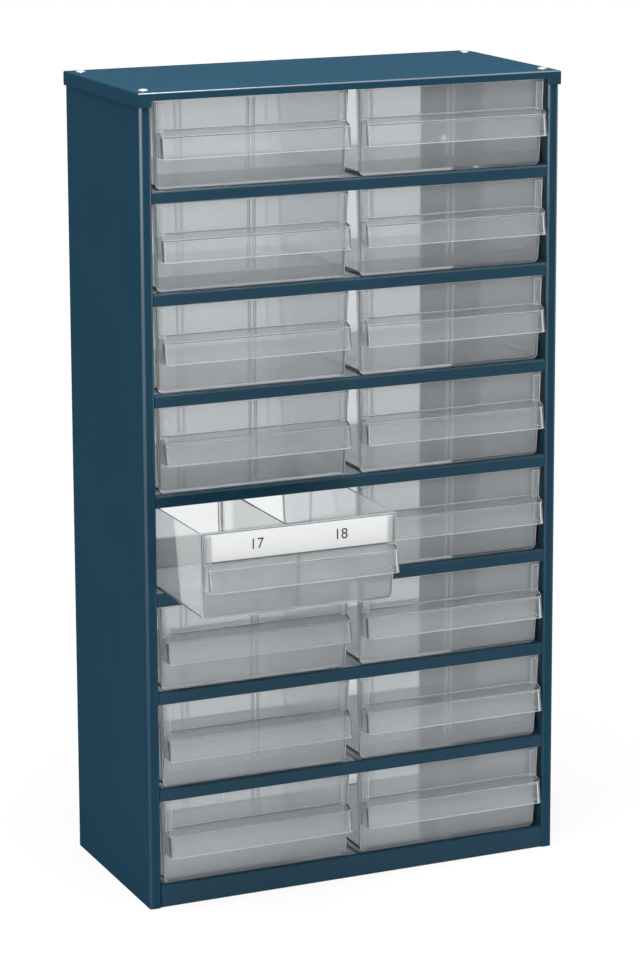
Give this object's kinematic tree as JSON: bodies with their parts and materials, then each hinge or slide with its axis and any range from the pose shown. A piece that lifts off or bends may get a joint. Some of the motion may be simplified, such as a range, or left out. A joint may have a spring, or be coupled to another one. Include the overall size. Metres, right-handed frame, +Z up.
{
  "type": "parts bin cabinet",
  "caption": "Tall narrow sheet-steel cabinet with rows of clear plastic drawers in two columns, for sorting screws and other small parts.",
  "frame": {"origin": "middle of the base's underside, where the cabinet stands", "axes": "+Z up, +X to the right seen from the front, +Y to the back; drawers pull out along -Y"},
  "size_m": [0.306, 0.2264, 0.5533],
  "materials": {
    "painted_steel": "semi-gloss dark blue stove enamel",
    "rivet_metal": "bare bright rivet heads",
    "clear_plastic": "clear polystyrene, polished, faintly grey",
    "card": "white label card, matt"
  },
  "bodies": {
    "cabinet": {"left_side_panel": "painted_steel", "right_side_panel": "painted_steel", "base_pan": "painted_steel", "lid": "painted_steel", "lid_rivets": "rivet_metal", "shelf_1": "painted_steel", "shelf_2": "painted_steel", "shelf_3": "painted_steel", "shelf_4": "painted_steel", "shelf_5": "painted_steel", "shelf_6": "painted_steel", "shelf_7": "painted_steel", "shelf_8": "painted_steel"},
    "drawer_1_left": {"drawer_1_left": "clear_plastic"},
    "drawer_1_right": {"drawer_1_right": "clear_plastic"},
    "drawer_2_left": {"drawer_2_left": "clear_plastic"},
    "drawer_2_right": {"drawer_2_right": "clear_plastic"},
    "drawer_3_left": {"drawer_3_left": "clear_plastic"},
    "drawer_3_right": {"drawer_3_right": "clear_plastic"},
    "drawer_4_left": {"drawer_4_left": "clear_plastic"},
    "drawer_4_right": {"drawer_4_right": "clear_plastic"},
    "drawer_5_left": {"drawer_5_left": "clear_plastic", "divider": "clear_plastic", "label_card": "card"},
    "drawer_5_right": {"drawer_5_right": "clear_plastic"},
    "drawer_6_left": {"drawer_6_left": "clear_plastic"},
    "drawer_6_right": {"drawer_6_right": "clear_plastic"},
    "drawer_7_left": {"drawer_7_left": "clear_plastic"},
    "drawer_7_right": {"drawer_7_right": "clear_plastic"},
    "drawer_8_left": {"drawer_8_left": "clear_plastic"},
    "drawer_8_right": {"drawer_8_right": "clear_plastic"}
  },
  "joints": [
    {"name": "drawer_1_left_slide", "type": "slide", "parent": "cabinet", "child": "drawer_1_left", "axis": [0, -1, 0], "range_m": [0, 0.105]},
    {"name": "drawer_1_right_slide", "type": "slide", "parent": "cabinet", "child": "drawer_1_right", "axis": [0, -1, 0], "range_m": [0, 0.105]},
    {"name": "drawer_2_left_slide", "type": "slide", "parent": "cabinet", "child": "drawer_2_left", "axis": [0, -1, 0], "range_m": [0, 0.105]},
    {"name": "drawer_2_right_slide", "type": "slide", "parent": "cabinet", "child": "drawer_2_right", "axis": [0, -1, 0], "range_m": [0, 0.105]},
    {"name": "drawer_3_left_slide", "type": "slide", "parent": "cabinet", "child": "drawer_3_left", "axis": [0, -1, 0], "range_m": [0, 0.105]},
    {"name": "drawer_3_right_slide", "type": "slide", "parent": "cabinet", "child": "drawer_3_right", "axis": [0, -1, 0], "range_m": [0, 0.105]},
    {"name": "drawer_4_left_slide", "type": "slide", "parent": "cabinet", "child": "drawer_4_left", "axis": [0, -1, 0], "range_m": [0, 0.105]},
    {"name": "drawer_4_right_slide", "type": "slide", "parent": "cabinet", "child": "drawer_4_right", "axis": [0, -1, 0], "range_m": [0, 0.105]},
    {"name": "drawer_5_left_slide", "type": "slide", "parent": "cabinet", "child": "drawer_5_left", "axis": [0, -1, 0], "range_m": [-0.075, 0.03]},
    {"name": "drawer_5_right_slide", "type": "slide", "parent": "cabinet", "child": "drawer_5_right", "axis": [0, -1, 0], "range_m": [0, 0.105]},
    {"name": "drawer_6_left_slide", "type": "slide", "parent": "cabinet", "child": "drawer_6_left", "axis": [0, -1, 0], "range_m": [0, 0.105]},
    {"name": "drawer_6_right_slide", "type": "slide", "parent": "cabinet", "child": "drawer_6_right", "axis": [0, -1, 0], "range_m": [0, 0.105]},
    {"name": "drawer_7_left_slide", "type": "slide", "parent": "cabinet", "child": "drawer_7_left", "axis": [0, -1, 0], "range_m": [0, 0.105]},
    {"name": "drawer_7_right_slide", "type": "slide", "parent": "cabinet", "child": "drawer_7_right", "axis": [0, -1, 0], "range_m": [0, 0.105]},
    {"name": "drawer_8_left_slide", "type": "slide", "parent": "cabinet", "child": "drawer_8_left", "axis": [0, -1, 0], "range_m": [0, 0.105]},
    {"name": "drawer_8_right_slide", "type": "slide", "parent": "cabinet", "child": "drawer_8_right", "axis": [0, -1, 0], "range_m": [0, 0.105]}
  ]
}
